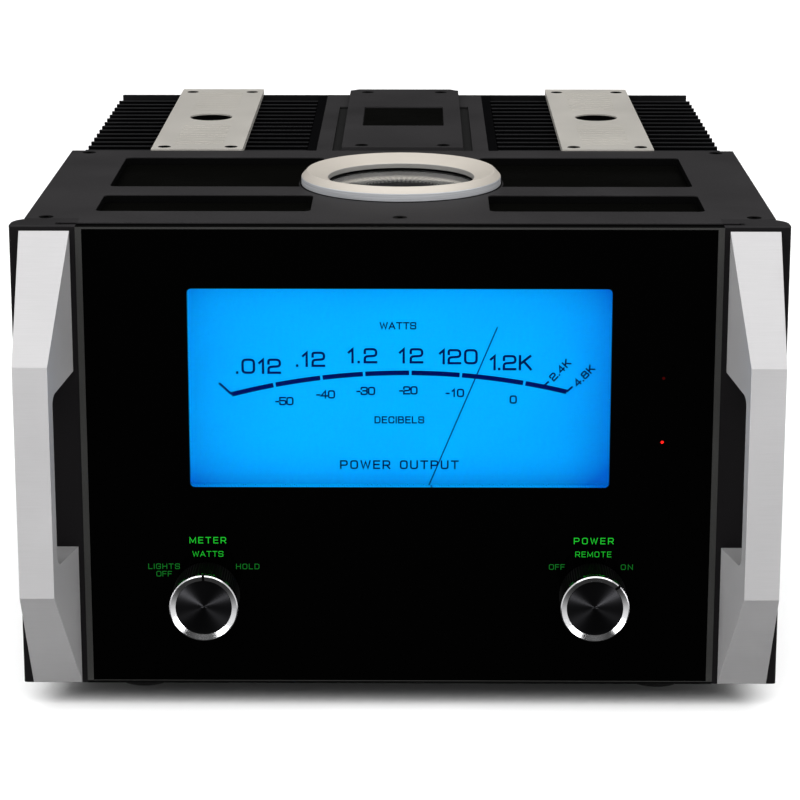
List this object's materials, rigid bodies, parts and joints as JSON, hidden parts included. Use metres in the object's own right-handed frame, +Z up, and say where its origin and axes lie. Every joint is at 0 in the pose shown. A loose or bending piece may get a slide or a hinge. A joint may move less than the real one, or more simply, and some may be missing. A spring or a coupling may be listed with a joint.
{
  "type": "monoblock power amplifier",
  "caption": "Monoblock power amplifier with a black glass front, a lit blue meter, rotary switches, silver grab handles, a round top window and finned heat sinks with silver caps.",
  "frame": {"origin": "on the surface that the feet stand on, under the middle of the amplifier's box", "axes": "+Z up, +Y to the rear, +X to the right as seen from the front"},
  "size_m": [0.4444, 0.563, 0.3034],
  "materials": {
    "front_glass": "black-backed gloss glass with a clear meter window",
    "dark_trim": "dark anodised, satin",
    "black_steel": "fine black powder coat",
    "cover_paint": "dark grey fine-texture powder coat",
    "silver_satin": "bead-blasted satin, clear anodised",
    "silver_turned": "turned and bead-blasted, warm silver",
    "cap_silver": "satin anodised",
    "sink_black": "black anodised",
    "knob_black": "black anodised with a spun face",
    "bright_chrome": "polished",
    "plain_steel": "zinc plated",
    "white_tray": "matt white",
    "dial_blue": "lit from behind",
    "needle_black": "black lacquer",
    "board_green": "solder mask",
    "red_lamp": "clear red lens",
    "dark_pane": "black-backed glass",
    "clear_glass": "clear",
    "black_plastic": "moulded, fine texture",
    "black_rubber": "matt",
    "gold_plate": "gold plated",
    "white_plastic": "moulded",
    "capacitor_blue": "shrink sleeve"
  },
  "bodies": {
    "chassis": {"front_glass": "front_glass", "glass_trim": "dark_trim", "sub_panel": "black_steel", "end_cheek_left": "sink_black", "end_cheek_right": "sink_black", "handle_left": "silver_satin", "handle_right": "silver_satin", "handle_bolts": "plain_steel", "meter_housing": "white_tray", "meter_dial": "dial_blue", "meter_movement": "black_plastic", "meter_lamp_board": "board_green", "meter_switch": "black_plastic", "power_switch": "black_plastic", "indicator_leds": "red_lamp", "top_cover": "cover_paint", "cover_rails": "plain_steel", "cover_panes": "dark_pane", "window_ring": "silver_turned", "window_glass": "clear_glass", "badge_well": "silver_turned", "badge_disc": "black_plastic", "heatsink_left": "sink_black", "heatsink_right": "sink_black", "heatsink_cap_left": "cap_silver", "heatsink_cap_right": "cap_silver", "rear_deck": "cover_paint", "rear_cover": "cover_paint", "top_screws": "black_steel", "base_pan": "black_steel", "side_panel_left": "black_steel", "side_panel_right": "black_steel", "bulkhead": "black_steel", "rear_panel": "black_steel", "feet": "black_rubber", "foot_screws": "plain_steel", "terminal_block": "black_plastic", "terminal_studs": "gold_plate", "xlr_input": "black_plastic", "rca_input": "gold_plate", "mains_inlet": "black_plastic", "input_switch_body": "black_plastic", "power_transformer": "black_steel", "output_transformer": "black_steel", "filter_capacitors": "capacitor_blue", "capacitor_clamp": "plain_steel", "driver_boards": "board_green", "output_transistors": "black_plastic"},
    "meter_knob": {"meter_knob": "knob_black", "meter_knob_ring": "bright_chrome", "meter_switch_shaft": "plain_steel"},
    "power_knob": {"power_knob": "knob_black", "power_knob_ring": "bright_chrome", "power_switch_shaft": "plain_steel"},
    "needle": {"meter_needle": "needle_black"},
    "input_slider": {"input_switch_slider": "white_plastic"},
    "nut_1": {"terminal_nut_1": "gold_plate"},
    "nut_2": {"terminal_nut_2": "gold_plate"},
    "nut_3": {"terminal_nut_3": "gold_plate"},
    "nut_4": {"terminal_nut_4": "gold_plate"}
  },
  "joints": [
    {"name": "meter_knob_turn", "type": "hinge", "parent": "chassis", "child": "meter_knob", "pos_m": [-0.113, -0.2379, 0.075], "axis": [0, 1, 0], "range_deg": [-45, 45]},
    {"name": "power_knob_turn", "type": "hinge", "parent": "chassis", "child": "power_knob", "pos_m": [0.113, -0.2379, 0.075], "axis": [0, 1, 0], "range_deg": [-90, 0]},
    {"name": "needle_swing", "type": "hinge", "parent": "chassis", "child": "needle", "pos_m": [0, -0.2289, 0.0971], "axis": [0, 1, 0], "range_deg": [-68, 23], "stiffness_Nm_per_rad": 0.0005},
    {"name": "input_switch_slide", "type": "slide", "parent": "chassis", "child": "input_slider", "axis": [1, 0, 0], "range_m": [0, 0.004]},
    {"name": "terminal_nut_1_turn", "type": "hinge", "parent": "chassis", "child": "nut_1", "pos_m": [-0.039, 0.2741, 0.136], "axis": [0, 1, 0], "range_deg": [0, 720]},
    {"name": "terminal_nut_2_turn", "type": "hinge", "parent": "chassis", "child": "nut_2", "pos_m": [-0.013, 0.2741, 0.136], "axis": [0, 1, 0], "range_deg": [0, 720]},
    {"name": "terminal_nut_3_turn", "type": "hinge", "parent": "chassis", "child": "nut_3", "pos_m": [0.013, 0.2741, 0.136], "axis": [0, 1, 0], "range_deg": [0, 720]},
    {"name": "terminal_nut_4_turn", "type": "hinge", "parent": "chassis", "child": "nut_4", "pos_m": [0.039, 0.2741, 0.136], "axis": [0, 1, 0], "range_deg": [0, 720]}
  ]
}
